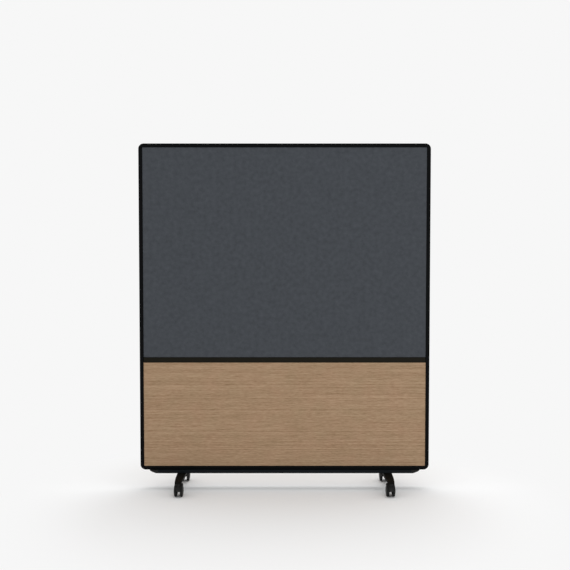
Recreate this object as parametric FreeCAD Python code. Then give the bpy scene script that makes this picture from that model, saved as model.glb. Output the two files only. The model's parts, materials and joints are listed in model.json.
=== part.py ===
import FreeCAD, Part
import math
import os

# Room divider on wheels. Sizes are in millimetres. X runs across its width, Y from front to back with the
# front at minus Y, and Z up. The origin is on the floor, under the middle of the frame.

os.makedirs("parts", exist_ok=True)
Vector = FreeCAD.Vector

# Driving sizes of the whole divider
frame_width = 1200
frame_height = 1350
frame_depth = 36
frame_face = 15
corner_radius = 22
frame_inner_radius = 3
lower_opening = 433
mid_rail_height = 21
base_rail_depth = 60
base_rail_height = 12.5
base_rail_setback = 38
foot_thickness = 13
foot_setback = 171.5
stem_spacing = 248
wheel_diameter = 50
tread_clearance = 1.2
hood_thickness = 2.3
hood_headroom = 4.5
core_thickness = 12
face_reveal = 2

# Clearances and the overrun that every cut shares
slide_clearance = 0.1
running_clearance = 0.05
thread_clearance = 0.05
groove_clearance = 0.3
panel_gap = 0.4
overrun = 5

# Levels and planes that several pieces share
castor_height = wheel_diameter + tread_clearance + hood_thickness + hood_headroom
foot_bottom = castor_height
rail_bottom = foot_bottom + foot_thickness
frame_bottom = rail_bottom + base_rail_height
frame_top = frame_bottom + frame_height
half_width = frame_width / 2
half_depth = frame_depth / 2
opening_half = half_width - frame_face
opening_bottom = frame_bottom + frame_face
opening_top = frame_top - frame_face
mid_rail_bottom = opening_bottom + lower_opening
mid_rail_top = mid_rail_bottom + mid_rail_height
groove_half = core_thickness / 2 + groove_clearance
face_half = half_depth - face_reveal
castor_x = half_width - foot_setback
stem_y = stem_spacing / 2
origin = Vector(0, 0, 0)
x_axis = Vector(1, 0, 0)
y_axis = Vector(0, 1, 0)
z_axis = Vector(0, 0, 1)
full_turn = 360
half_turn = 180


# Shared shapes

def save(name, *solids):
    """Write one named piece, or one group of like pieces, as a STEP file."""
    shape = solids[0] if len(solids) == 1 else Part.makeCompound(solids)
    shape.exportStep("parts/" + name + ".step")


def block(low, high):
    """A box between two corners."""
    return Part.makeBox(high[0] - low[0], high[1] - low[1], high[2] - low[2], Vector(*low))


def rod(radius, start, end):
    """A round bar between two points."""
    return Part.makeCylinder(radius, (end - start).Length, start, end - start)


def rounded_wire(corners, at):
    """A closed wire through corners (u, v, radius), each rounded by its radius. at(u, v) gives the point."""
    edges = []
    ends = []
    count = len(corners)
    for index, (u, v, radius) in enumerate(corners):
        before = corners[index - 1]
        after = corners[(index + 1) % count]
        here = Vector(u, v, 0)
        back = (Vector(before[0], before[1], 0) - here).normalize()
        ahead = (Vector(after[0], after[1], 0) - here).normalize()
        half_angle = back.getAngle(ahead) / 2
        reach = radius / math.tan(half_angle)
        bisector = (back + ahead).normalize()
        middle = here + bisector * (radius / math.sin(half_angle) - radius)
        start = here + back * reach
        finish = here + ahead * reach
        ends.append([at(point.x, point.y) for point in (start, middle, finish)])
    for index, (start, middle, finish) in enumerate(ends):
        following = ends[(index + 1) % count][0]
        if start.distanceToPoint(finish) > 0:
            edges.append(Part.Arc(start, middle, finish).toShape())
        if finish.distanceToPoint(following) > 0:
            edges.append(Part.makeLine(finish, following))
    return Part.Wire(edges)


def face_of(*wires):
    """A flat face from an outer wire and the wires of its holes."""
    return Part.makeFace(list(wires), "Part::FaceMakerBullseye")


def edges_across(solid, y):
    """The edges of a solid that lie in one plane across Y."""
    return [
        edge for edge in solid.Edges
        if all(math.isclose(vertex.Y, y, abs_tol=slide_clearance) for vertex in edge.Vertexes)
    ]


def mirror_x(shape):
    return shape.mirror(origin, x_axis)


def mirror_y(shape):
    return shape.mirror(origin, y_axis)


def mirror_frame(shape):
    """Mirror from the frame's lower half to its upper half."""
    return shape.mirror(Vector(0, 0, (frame_bottom + frame_top) / 2), z_axis)


def countersunk(seat, direction, shank, head, length, slack=0):
    """A countersunk screw whose flat head lies at seat, or with slack the hole that it goes in."""
    head_height = head - shank
    along = Vector(direction).normalize()
    cone = Part.makeCone(head + slack, shank + slack, head_height, seat, along)
    bar = rod(shank + slack, seat + along * head_height, seat + along * (length + slack))
    return cone.fuse(bar)


# Frame extrusion: a square grooved section with a closed chamber on each side of the groove

frame_wall = 1.8
groove_wall = 1.6
groove_back = 5
frame_edge_radius = 2
lip_edge_radius = 0.8
groove_depth = frame_face - groove_back
chamber_inner = groove_half + groove_wall
chamber_outer = half_depth - frame_wall
chamber_middle = (chamber_inner + chamber_outer) / 2
chamber_low = frame_wall
chamber_high = frame_face - groove_wall


def section_wires(at):
    """The frame's section. u runs from the outer face to the panel, and v from front to back."""
    outer = rounded_wire([
        (0, -half_depth, frame_edge_radius),
        (0, half_depth, frame_edge_radius),
        (frame_face, half_depth, lip_edge_radius),
        (frame_face, groove_half, 0),
        (groove_back, groove_half, 0),
        (groove_back, -groove_half, 0),
        (frame_face, -groove_half, 0),
        (frame_face, -half_depth, lip_edge_radius),
    ], at)
    holes = []
    for side in (-1, 1):
        holes.append(rounded_wire([
            (chamber_low, side * chamber_inner, 0),
            (chamber_high, side * chamber_inner, 0),
            (chamber_high, side * chamber_outer, 0),
            (chamber_low, side * chamber_outer, 0),
        ], at))
    return [outer] + holes


# Corner pieces: an L with a round outer corner and a nearly square inner one, and two prongs on each leg

corner_leg = 10
prong_length = 30
corner_reach = corner_radius + corner_leg
screw_shank = 1.5
screw_head = 2.9
corner_screw_length = 10
corner_screw_setback = 16


def stile_place(height):
    """Places the section on the left stile at a height."""
    return lambda u, v: Vector(u - half_width, v, height)


def rail_place(x):
    """Places the section on the bottom rail at a distance across."""
    return lambda u, v: Vector(x, v, frame_bottom + u)


def corner_screws(slack=0):
    """The four screws of the lower left corner, or their holes."""
    inset = corner_reach + corner_screw_setback
    screws = []
    for side in (-1, 1):
        on_stile = Vector(frame_face - half_width, side * chamber_middle, frame_bottom + inset)
        on_rail = Vector(inset - half_width, side * chamber_middle, frame_bottom + frame_face)
        for seat, direction in ((on_stile, -x_axis), (on_rail, -z_axis)):
            screws.append(countersunk(seat, direction, screw_shank, screw_head, corner_screw_length, slack))
    return screws


def corner_plate(corners, half):
    """A plate across Y through corners (u, v, radius) measured from the frame's lower left corner."""
    wire = rounded_wire(corners, lambda u, v: Vector(u - half_width, -half, v + frame_bottom))
    return face_of(wire).extrude(Vector(0, 2 * half, 0))


def corner_body():
    """The corner's L. Its long edges are rounded as the extrusions' edges are, and its two ends stay sharp."""
    body = corner_plate([
        (0, 0, corner_radius),
        (corner_reach, 0, 0),
        (corner_reach, frame_face, 0),
        (frame_face, frame_face, frame_inner_radius),
        (frame_face, corner_reach, 0),
        (0, corner_reach, 0),
    ], half_depth)
    for radius, inner in ((frame_edge_radius, False), (lip_edge_radius, True)):
        edges = []
        for edge in edges_across(body, -half_depth) + edges_across(body, half_depth):
            middle = edge.valueAt((edge.FirstParameter + edge.LastParameter) / 2)
            u = middle.x + half_width
            v = middle.z - frame_bottom
            at_end = max(u, v) > corner_reach - lip_edge_radius
            beside_opening = min(u, v) > frame_face - lip_edge_radius
            if beside_opening == inner and not at_end:
                edges.append(edge)
        body = body.makeFillet(radius, edges)
    return body


def corner_piece():
    """The lower left corner."""
    body = corner_body()
    body = body.cut(corner_plate([
        (groove_back, groove_back, corner_radius - groove_back),
        (corner_reach + overrun, groove_back, 0),
        (corner_reach + overrun, corner_reach + overrun, 0),
        (groove_back, corner_reach + overrun, 0),
    ], groove_half))
    leg_end = frame_bottom + corner_reach
    rail_end = corner_reach - half_width
    for side in (-1, 1):
        near, far = sorted((side * chamber_inner, side * chamber_outer))
        near = near + slide_clearance
        far = far - slide_clearance
        low = chamber_low + slide_clearance
        high = chamber_high - slide_clearance
        upright = block(
            (low - half_width, near, leg_end - corner_leg / 2),
            (high - half_width, far, leg_end + prong_length),
        )
        level = block(
            (rail_end - corner_leg / 2, near, frame_bottom + low),
            (rail_end + prong_length, far, frame_bottom + high),
        )
        body = body.fuse([upright, level])
    return body.removeSplitter().cut(corner_screws(thread_clearance))


# Mid rail: an H section whose grooves take the two panels, and a bracket at each end

mid_rail_setback = 0.5
mid_groove_depth = 7
mid_edge_radius = 1.5
bracket_plate = 2
bracket_inset = 1
ear_length = 24
ear_thickness = 3
bracket_screw_length = 8
mid_half_depth = half_depth - mid_rail_setback
mid_rail_half = opening_half - bracket_plate
mid_chamber_outer = mid_half_depth - frame_wall
mid_chamber_middle = (chamber_inner + mid_chamber_outer) / 2
mid_rail_centre = (mid_rail_bottom + mid_rail_top) / 2


def mid_rail_section(x, inset=0):
    """The outline of the mid rail, or of a plate that is smaller by inset all round."""
    low = mid_rail_bottom + inset
    high = mid_rail_top - inset
    depth = mid_half_depth - inset
    groove = groove_half + inset
    groove_low = mid_rail_bottom + mid_groove_depth + inset
    groove_high = mid_rail_top - mid_groove_depth - inset
    return rounded_wire([
        (-depth, low, mid_edge_radius),
        (-groove, low, 0),
        (-groove, groove_low, 0),
        (groove, groove_low, 0),
        (groove, low, 0),
        (depth, low, mid_edge_radius),
        (depth, high, mid_edge_radius),
        (groove, high, 0),
        (groove, groove_high, 0),
        (-groove, groove_high, 0),
        (-groove, high, 0),
        (-depth, high, mid_edge_radius),
    ], lambda v, z: Vector(x, v, z))


def mid_rail():
    """The mid rail with its two chambers."""
    holes = []
    for side in (-1, 1):
        holes.append(rounded_wire([
            (side * chamber_inner, mid_rail_bottom + groove_wall, 0),
            (side * mid_chamber_outer, mid_rail_bottom + groove_wall, 0),
            (side * mid_chamber_outer, mid_rail_top - groove_wall, 0),
            (side * chamber_inner, mid_rail_top - groove_wall, 0),
        ], lambda v, z: Vector(-mid_rail_half, v, z)))
    section = face_of(mid_rail_section(-mid_rail_half), *holes)
    return section.extrude(Vector(2 * mid_rail_half, 0, 0))


def bracket_screws(slack=0):
    """The two screws of the left bracket, or their holes."""
    screws = []
    for side in (-1, 1):
        seat = Vector(-mid_rail_half, side * mid_chamber_middle, mid_rail_centre)
        screws.append(countersunk(seat, -x_axis, screw_shank, screw_head, bracket_screw_length, slack))
    return screws


def mid_rail_bracket():
    """The left bracket: a plate on the stile with ears above and below each screw."""
    plate = face_of(mid_rail_section(-opening_half, bracket_inset)).extrude(Vector(bracket_plate, 0, 0))
    ears = []
    low = mid_rail_bottom + groove_wall + slide_clearance
    high = mid_rail_top - groove_wall - slide_clearance
    for side in (-1, 1):
        near, far = sorted((side * chamber_inner, side * mid_chamber_outer))
        for bottom, top in ((low, low + ear_thickness), (high - ear_thickness, high)):
            ears.append(block(
                (-mid_rail_half - bracket_plate / 2, near + slide_clearance, bottom),
                (ear_length - mid_rail_half, far - slide_clearance, top),
            ))
    return plate.fuse(ears).removeSplitter().cut(bracket_screws(thread_clearance))


# Base rail: a low wide extrusion with a chamber for the frame screws and one for each row of nut plates

rail_wall = 2.5
rail_side_wall = 2
rail_web = 2
rail_top_radius = 1.5
rail_bottom_radius = 3
centre_chamber_half = 7
cap_length = 36
frame_screw_count = 6
frame_screw_end = 40
frame_screw_shank = 3
frame_screw_head = 5
screw_tip_clearance = 0.5
access_radius = 5.5
frame_screw_length = rail_wall + groove_back - screw_tip_clearance
rail_straight_half = half_width - base_rail_setback - cap_length
frame_screw_pitch = 2 * (rail_straight_half - frame_screw_end) / (frame_screw_count - 1)
rail_half_depth = base_rail_depth / 2
side_chamber_inner = centre_chamber_half + rail_web
side_chamber_outer = rail_half_depth - rail_side_wall
chamber_floor = rail_bottom + rail_wall
chamber_roof = frame_bottom - rail_wall


def rail_outline(x):
    """The base rail's outer outline."""
    return rounded_wire([
        (-rail_half_depth, rail_bottom, rail_bottom_radius),
        (rail_half_depth, rail_bottom, rail_bottom_radius),
        (rail_half_depth, frame_bottom, rail_top_radius),
        (-rail_half_depth, frame_bottom, rail_top_radius),
    ], lambda v, z: Vector(x, v, z))


def rail_chambers(clearance=0):
    """The chambers as pairs of Y limits, drawn in by a clearance."""
    pairs = (
        (-side_chamber_outer, -side_chamber_inner),
        (-centre_chamber_half, centre_chamber_half),
        (side_chamber_inner, side_chamber_outer),
    )
    return [(near + clearance, far - clearance) for near, far in pairs]


def frame_screws(slack=0):
    """The screws from the base rail's middle chamber up into the frame, or their holes."""
    screws = []
    for index in range(frame_screw_count):
        x = (index - (frame_screw_count - 1) / 2) * frame_screw_pitch
        seat = Vector(x, 0, chamber_roof)
        screws.append(countersunk(seat, z_axis, frame_screw_shank, frame_screw_head,
                                  frame_screw_length, slack))
    return screws


def access_holes():
    """Round holes in the base rail's floor, one under each frame screw."""
    holes = []
    for screw in frame_screws():
        x = screw.BoundBox.Center.x
        holes.append(rod(access_radius, Vector(x, 0, rail_bottom - overrun), Vector(x, 0, chamber_roof)))
    return holes


# Feet: cast arms that taper towards their tips, ribbed underneath, with a boss for each castor

foot_tip_beyond = 18
foot_half_width = 18
tip_half_width = 13
tip_drop = 3.5
nose_length = 5
nose_inset = 3
foot_top_radius = 4
foot_wall = 3
foot_roof = 4
stem_boss_radius = 9.5
screw_boss_radius = 7.5
rib_thickness = 2.5
cross_rib_pitch = 26
cross_rib_count = 9
foot_screw_x = 9
foot_screw_shank = 3
foot_screw_head = 5.5
foot_screw_y = (side_chamber_inner + side_chamber_outer) / 2
nut_plate_length = 44
nut_plate_headroom = 1
nut_plate_thickness = base_rail_height - 2 * rail_wall - nut_plate_headroom
foot_screw_length = foot_thickness + rail_wall + nut_plate_thickness
foot_half_length = stem_y + foot_tip_beyond
socket_width = 4
socket_depth = 2
socket_sides = 6
arm_station_shares = (0, 0.3, 0.5, 0.65, 0.8, 0.9, 1)


def foot_section(y, width, top):
    """An arm's section across X at a distance from the middle."""
    return rounded_wire([
        (-width, foot_bottom, 0),
        (width, foot_bottom, 0),
        (width, top, foot_top_radius),
        (-width, top, foot_top_radius),
    ], lambda u, z: Vector(u, y, z))


def foot_screw_places():
    """Where the four screws of a foot centred on X of zero stand."""
    return [(x, y) for x in (-foot_screw_x, foot_screw_x) for y in (-foot_screw_y, foot_screw_y)]


def foot_screws(slack=0):
    """The four screws of one foot, or their holes."""
    screws = []
    for x, y in foot_screw_places():
        seat = Vector(x, y, foot_bottom)
        screws.append(countersunk(seat, z_axis, foot_screw_shank, foot_screw_head,
                                  foot_screw_length, slack))
    return screws


def socket(x, y):
    """The six-sided recess in a foot screw's head."""
    centre = Vector(x, y, foot_bottom)
    points = []
    for index in range(socket_sides):
        turn = math.tau * index / socket_sides
        points.append(centre + Vector(math.cos(turn), math.sin(turn), 0) * (socket_width / 2))
    return Part.Face(Part.makePolygon(points + points[:1])).extrude(Vector(0, 0, socket_depth))


def foot_arm():
    """The arm towards the back. Its taper grows with the square of the distance from the rail, and its
    stations stand closer together towards the tip."""
    start = rail_half_depth
    length = foot_half_length - nose_length - start
    wires = []
    for share in arm_station_shares:
        taper = share ** 2
        width = foot_half_width - taper * (foot_half_width - tip_half_width)
        wires.append(foot_section(start + share * length, width, rail_bottom - taper * tip_drop))
    arm = Part.makeLoft(wires, True, True)
    nose = Part.makeLoft([
        wires[-1],
        foot_section(foot_half_length, tip_half_width - nose_inset, rail_bottom - tip_drop - nose_inset / 2),
    ], True, True)
    return arm.fuse(nose)


def foot():
    """A foot centred on X of zero."""
    middle = face_of(foot_section(-rail_half_depth, foot_half_width, rail_bottom))
    body = middle.extrude(Vector(0, 2 * rail_half_depth, 0))
    arm = foot_arm()
    body = body.fuse([arm, mirror_y(arm)]).removeSplitter()
    pocket_half = stem_y
    inner = foot_half_width - foot_wall
    inner_tip = tip_half_width - foot_wall
    hollow = Part.Face(Part.makePolygon([
        Vector(-inner_tip, -pocket_half, foot_bottom),
        Vector(inner_tip, -pocket_half, foot_bottom),
        Vector(inner, -rail_half_depth, foot_bottom),
        Vector(inner, rail_half_depth, foot_bottom),
        Vector(inner_tip, pocket_half, foot_bottom),
        Vector(-inner_tip, pocket_half, foot_bottom),
        Vector(-inner, rail_half_depth, foot_bottom),
        Vector(-inner, -rail_half_depth, foot_bottom),
        Vector(-inner_tip, -pocket_half, foot_bottom),
    ])).extrude(Vector(0, 0, foot_thickness - foot_roof))
    roof = rail_bottom
    kept = [block((-rib_thickness / 2, -pocket_half, foot_bottom), (rib_thickness / 2, pocket_half, roof))]
    for index in range(cross_rib_count):
        y = (index - (cross_rib_count - 1) / 2) * cross_rib_pitch
        kept.append(block(
            (-foot_half_width, y - rib_thickness / 2, foot_bottom),
            (foot_half_width, y + rib_thickness / 2, roof),
        ))
    for x, y in foot_screw_places():
        kept.append(rod(screw_boss_radius, Vector(x, y, foot_bottom), Vector(x, y, roof)))
    for side in (-1, 1):
        y = side * stem_y
        kept.append(rod(stem_boss_radius, Vector(0, y, foot_bottom), Vector(0, y, roof)))
    hollow = hollow.cut(kept)
    body = body.cut(hollow)
    holes = foot_screws(thread_clearance)
    for side in (-1, 1):
        y = side * stem_y
        holes.append(rod(
            stud_radius + thread_clearance,
            Vector(0, y, foot_bottom - overrun),
            Vector(0, y, foot_bottom + stud_length + stud_clearance),
        ))
    return body.cut(holes)


def nut_plates():
    """The front and rear nut plates over a foot centred on X of zero."""
    plates = []
    for near, far in (rail_chambers(slide_clearance)[0], rail_chambers(slide_clearance)[-1]):
        plates.append(block(
            (-nut_plate_length / 2, near, chamber_floor),
            (nut_plate_length / 2, far, chamber_floor + nut_plate_thickness),
        ))
    return [plate.cut(foot_screws(thread_clearance)) for plate in plates]


# End caps of the base rail: prongs in its chambers and a nose that slopes up to the frame

cap_slope_start = 6
cap_lip = 1.2
cap_plan_radius = 16
cap_prong = 18


def end_cap():
    """The right end cap."""
    start = rail_straight_half
    end = start + cap_length
    body = face_of(rail_outline(start)).extrude(Vector(cap_length, 0, 0))
    plan = rounded_wire([
        (start - overrun, -rail_half_depth, 0),
        (end, -rail_half_depth, cap_plan_radius),
        (end, rail_half_depth, cap_plan_radius),
        (start - overrun, rail_half_depth, 0),
    ], lambda u, v: Vector(u, v, rail_bottom - overrun))
    body = body.common(face_of(plan).extrude(Vector(0, 0, base_rail_height + 2 * overrun)))
    slope = Part.Face(Part.makePolygon([
        Vector(start + cap_slope_start, -rail_half_depth, rail_bottom),
        Vector(end, -rail_half_depth, frame_bottom - cap_lip),
        Vector(end + overrun, -rail_half_depth, frame_bottom - cap_lip),
        Vector(end + overrun, -rail_half_depth, rail_bottom - overrun),
        Vector(start + cap_slope_start, -rail_half_depth, rail_bottom - overrun),
        Vector(start + cap_slope_start, -rail_half_depth, rail_bottom),
    ])).extrude(Vector(0, base_rail_depth, 0))
    body = body.cut(slope)
    prongs = []
    for near, far in rail_chambers(slide_clearance):
        prongs.append(block(
            (start - cap_prong, near, chamber_floor + slide_clearance),
            (start + cap_slope_start, far, chamber_roof - slide_clearance),
        ))
    return body.fuse(prongs).removeSplitter()


# Castors: drawn with the swivel axis on the origin and the wheels trailing towards plus Y

trail = 12
wheel_radius = wheel_diameter / 2
web_half = 6.4
wheel_gap = 0.6
wheel_half = 19
cover_dish = 2.4
tread_thickness = 3.5
tread_inner_edge = 1
tread_shoulder = 3
tread_shoulder_drop = 0.9
tread_edge = 1.2
tread_edge_drop = 2.3
rim_thickness = 2.2
hub_radius = 6
hub_wall = 1.8
cover_flat_radius = 13
cover_dimple_radius = 4
cover_dimple_depth = 0.8
axle_radius = 3
axle_setback = 5
hood_side_setback = 3.2
hood_taper_end = 8
hood_front_angle = 4
hood_back_angle = 28
braked_hood_back_angle = 58
axle_boss_radius = 7
stem_collar_radius = 8
collar_gap = 0.3
pin_radius = 4
pin_reach = 25
snap_radius = 4.8
snap_height = 2
flange_radius = 9
flange_thickness = 2
stud_radius = 5
stud_length = 8
stud_clearance = 0.5
tread_outer = wheel_half - cover_dish
axle_half = wheel_half - axle_setback
hood_half = wheel_half - hood_side_setback
pin_bottom = castor_height - pin_reach
hood_inner = wheel_radius + tread_clearance
hood_outer = hood_inner + hood_thickness
wheel_inner = web_half + wheel_gap
flange_bottom = castor_height - flange_thickness
axle_point = Vector(0, trail, wheel_radius)


def about_axle(radius, degrees, x=0):
    """A point at a radius from the axle. The angle is measured from the trailing side, upwards."""
    turn = math.radians(degrees)
    return axle_point + Vector(x, radius * math.cos(turn), radius * math.sin(turn))


def turned(section):
    """A solid turned about the axle from the corners (x, radius) of its half section."""
    points = [axle_point + Vector(x, 0, radius) for x, radius in section]
    return Part.Face(Part.makePolygon(points + points[:1])).revolve(axle_point, x_axis, full_turn)


def disc(radius, low, high):
    """A round disc about the axle between two places across it."""
    return rod(radius, axle_point + Vector(low, 0, 0), axle_point + Vector(high, 0, 0))


def wheel():
    """The right wheel's hub: a boss on the axle, a dished cover and a rim."""
    rim_outer = wheel_radius - tread_thickness
    rim_inner = rim_outer - rim_thickness
    bore = axle_radius + running_clearance
    bore_end = axle_half + running_clearance
    flat_inside = wheel_half - hub_wall
    slope_inside = tread_outer - hub_wall
    return turned([
        (bore_end, 0),
        (bore_end, bore),
        (wheel_inner, bore),
        (wheel_inner, hub_radius),
        (flat_inside, hub_radius),
        (flat_inside, cover_flat_radius),
        (slope_inside, rim_inner),
        (wheel_inner + rim_thickness / 2, rim_inner),
        (wheel_inner + rim_thickness / 2, rim_outer),
        (tread_outer, rim_outer),
        (wheel_half, cover_flat_radius),
        (wheel_half, cover_dimple_radius),
        (wheel_half - cover_dimple_depth, cover_dimple_radius - cover_dimple_depth),
        (wheel_half - cover_dimple_depth, 0),
    ])


def tyre():
    """The right wheel's tread, with an eased inner edge and a two-step outer shoulder."""
    seat = wheel_radius - tread_thickness
    return turned([
        (wheel_inner, seat),
        (wheel_inner, wheel_radius - tread_inner_edge),
        (wheel_inner + tread_inner_edge, wheel_radius),
        (tread_outer - tread_shoulder, wheel_radius),
        (tread_outer - tread_edge, wheel_radius - tread_shoulder_drop),
        (tread_outer, wheel_radius - tread_edge_drop),
        (tread_outer, seat),
    ])


def axle():
    """The axle, pressed through the web."""
    return disc(axle_radius, -axle_half, axle_half)


def stem(slack=0):
    """The fixed pin: a threaded stud, a flange, and a snap ring near its foot. Slack gives its bore."""
    radius = pin_radius + slack
    snap = snap_radius + slack
    foot_end = pin_bottom - slack
    points = [
        Vector(0, 0, foot_end),
        Vector(radius, 0, foot_end),
        Vector(radius, 0, pin_bottom + snap_height),
        Vector(snap, 0, pin_bottom + 2 * snap_height - slack),
        Vector(snap, 0, pin_bottom + 2 * snap_height + slack),
        Vector(radius, 0, pin_bottom + 3 * snap_height),
    ]
    if slack:
        points.append(Vector(radius, 0, castor_height + overrun))
        points.append(Vector(0, 0, castor_height + overrun))
    else:
        points.append(Vector(radius, 0, flange_bottom))
        points.append(Vector(flange_radius, 0, flange_bottom))
        points.append(Vector(flange_radius, 0, castor_height))
        points.append(Vector(stud_radius, 0, castor_height))
        points.append(Vector(stud_radius, 0, castor_height + stud_length))
        points.append(Vector(0, 0, castor_height + stud_length))
    points.append(points[0])
    return Part.Face(Part.makePolygon(points)).revolve(origin, z_axis, full_turn)


def hood(back_angle):
    """The hood: a ring segment over both wheels that narrows to the web at the front."""
    ring = disc(hood_outer, -hood_half, hood_half).cut(disc(hood_inner, -wheel_half, wheel_half))
    reach = hood_outer + overrun
    sector = Part.Face(Part.makePolygon([
        axle_point - Vector(wheel_half, 0, 0),
        about_axle(reach, back_angle, -wheel_half),
        axle_point + Vector(-wheel_half, reach, reach),
        axle_point + Vector(-wheel_half, -reach, reach),
        about_axle(reach, half_turn - hood_front_angle, -wheel_half),
        axle_point - Vector(wheel_half, 0, 0),
    ])).extrude(Vector(2 * wheel_half, 0, 0))
    front = trail - hood_outer
    back = trail + hood_outer
    plan = Part.Face(Part.makePolygon([
        Vector(-web_half, front, 0),
        Vector(web_half, front, 0),
        Vector(hood_half, trail - hood_taper_end, 0),
        Vector(hood_half, back, 0),
        Vector(-hood_half, back, 0),
        Vector(-hood_half, trail - hood_taper_end, 0),
        Vector(-web_half, front, 0),
    ])).extrude(Vector(0, 0, castor_height))
    return ring.common(sector).common(plan)


def housing(braked=False):
    """The moulded housing: web, hood, stem collar and axle boss."""
    back_angle = braked_hood_back_angle if braked else hood_back_angle
    web_end = hood_outer - hood_thickness / 2
    web_side = Part.Face(Part.makePolygon([
        axle_point - Vector(web_half, 0, 0),
        about_axle(hood_outer + overrun, hood_back_angle, -web_half),
        axle_point + Vector(-web_half, hood_outer, hood_outer + overrun),
        axle_point + Vector(-web_half, -hood_outer - overrun, hood_outer + overrun),
        about_axle(hood_outer + overrun, half_turn - hood_front_angle, -web_half),
        axle_point - Vector(web_half, 0, 0),
    ])).extrude(Vector(2 * web_half, 0, 0))
    web = disc(web_end, -web_half, web_half).common(web_side)
    web = web.fuse(disc(axle_boss_radius, -web_half, web_half))
    collar = rod(stem_collar_radius, Vector(0, 0, wheel_radius), Vector(0, 0, flange_bottom - collar_gap))
    for side in (-1, 1):
        near, far = sorted((side * web_half, side * wheel_half))
        collar = collar.cut(disc(hood_inner, near, far))
    collar = collar.cut(block(
        (-wheel_half, -hood_outer, 0),
        (wheel_half, hood_outer, pin_bottom - hood_thickness),
    ))
    body = web.fuse([hood(back_angle), collar]).removeSplitter()
    body = body.cut([stem(running_clearance), axle_hole()])
    if braked:
        pedal_room = sector_plate(wheel_radius, hood_outer + overrun, slot_open_angle,
                                  braked_hood_back_angle, wheel_half)
        body = body.cut([pedal_room, lever_slot(), lever_trunnion(running_clearance)])
    return body


def axle_hole():
    """The axle's press hole in the web."""
    return disc(axle_radius, -web_half - overrun, web_half + overrun)


# Brake lever on the rear castors: a pedal over both treads, hung in a slot in the web

lever_tongue_half = 2.4
lever_slot_half = 2.6
lever_pivot_inset = 7
lever_pivot_angle = 52
trunnion_radius = 1.5
trunnion_setback = 0.8
lever_eye_radius = 3.2
pedal_lift = 3.8
pedal_thickness = 2.6
pedal_side_setback = 1.3
pedal_top_angle = 55
pedal_foot_angle = 8
pedal_toe_angle = 20
pedal_toe_reach = 7
slot_open_angle = 23
slot_end_angle = 64
tongue_low_angle = 46
tongue_high_angle = 55
lever_pivot_radius = wheel_radius - lever_pivot_inset
trunnion_half = web_half - trunnion_setback
pedal_half = hood_half - pedal_side_setback


def lever_trunnion(slack=0):
    """The lever's pivot pin, or with slack the hole that it turns in."""
    half = trunnion_half + slack
    return rod(
        trunnion_radius + slack,
        about_axle(lever_pivot_radius, lever_pivot_angle, -half),
        about_axle(lever_pivot_radius, lever_pivot_angle, half),
    )


def sector_plate(inner, outer, low_angle, high_angle, half):
    """A curved plate about the axle between two radii and two angles."""
    middle_angle = (low_angle + high_angle) / 2
    edges = [
        Part.Arc(about_axle(outer, low_angle, -half), about_axle(outer, middle_angle, -half),
                 about_axle(outer, high_angle, -half)).toShape(),
        Part.makeLine(about_axle(outer, high_angle, -half), about_axle(inner, high_angle, -half)),
        Part.Arc(about_axle(inner, high_angle, -half), about_axle(inner, middle_angle, -half),
                 about_axle(inner, low_angle, -half)).toShape(),
        Part.makeLine(about_axle(inner, low_angle, -half), about_axle(outer, low_angle, -half)),
    ]
    return Part.Face(Part.Wire(edges)).extrude(Vector(2 * half, 0, 0))


def lever_slot():
    """The slot in the web, wide enough for the tongue to swing in."""
    inner = lever_pivot_radius - lever_eye_radius - tread_clearance
    return sector_plate(inner, hood_outer + overrun, slot_open_angle, slot_end_angle, lever_slot_half)


def brake_lever():
    """Pedal, tongue and trunnions in one moulding."""
    inner = wheel_radius + pedal_lift
    outer = inner + pedal_thickness
    pedal = sector_plate(inner, outer, pedal_foot_angle, pedal_top_angle, pedal_half)
    toe = sector_plate(inner, outer + pedal_toe_reach, pedal_foot_angle, pedal_toe_angle, pedal_half)
    eye_start = about_axle(lever_pivot_radius, lever_pivot_angle, -lever_tongue_half)
    eye_end = about_axle(lever_pivot_radius, lever_pivot_angle, lever_tongue_half)
    eye = rod(lever_eye_radius, eye_start, eye_end)
    tongue = sector_plate(lever_pivot_radius, inner + pedal_thickness / 2, tongue_low_angle,
                          tongue_high_angle, lever_tongue_half)
    return pedal.fuse([toe, eye, tongue, lever_trunnion()]).removeSplitter()


# Panels: tongued boards in the grooves, with pads and fabric above and oak faced boards below

core_side_clearance = 1
core_head_clearance = 2
fabric_thickness = 0.8
fabric_edge_radius = 2
board_edge = 0.5
face_top = opening_top - panel_gap
core_half = opening_half + groove_depth - core_side_clearance
core_corner_radius = corner_radius - groove_back - core_side_clearance
panel_corner_radius = frame_inner_radius - panel_gap


def board(half, bottom, top, radii, front, back):
    """A flat board with its own radius at the bottom and top corners."""
    bottom_radius, top_radius = radii
    wire = rounded_wire([
        (-half, bottom, bottom_radius),
        (half, bottom, bottom_radius),
        (half, top, top_radius),
        (-half, top, top_radius),
    ], lambda u, z: Vector(u, front, z))
    return face_of(wire).extrude(Vector(0, back - front, 0))


def upper_skin(inset):
    """The upper front pad's shape, drawn in by inset from the fabric's outer face."""
    radius = panel_corner_radius - inset
    front = inset - face_half
    solid = board(opening_half - panel_gap - inset, mid_rail_top + panel_gap + inset, face_top - inset,
                  (radius, radius), front, -core_thickness / 2)
    return solid.makeFillet(fabric_edge_radius - inset, edges_across(solid, front))


def lower_board():
    """The lower front board, with its front edges eased."""
    solid = board(opening_half - panel_gap, opening_bottom + panel_gap, mid_rail_bottom - panel_gap,
                  (panel_corner_radius, 0), -face_half, -core_thickness / 2)
    return solid.makeChamfer(board_edge, edges_across(solid, -face_half))


# Build the frame

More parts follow.
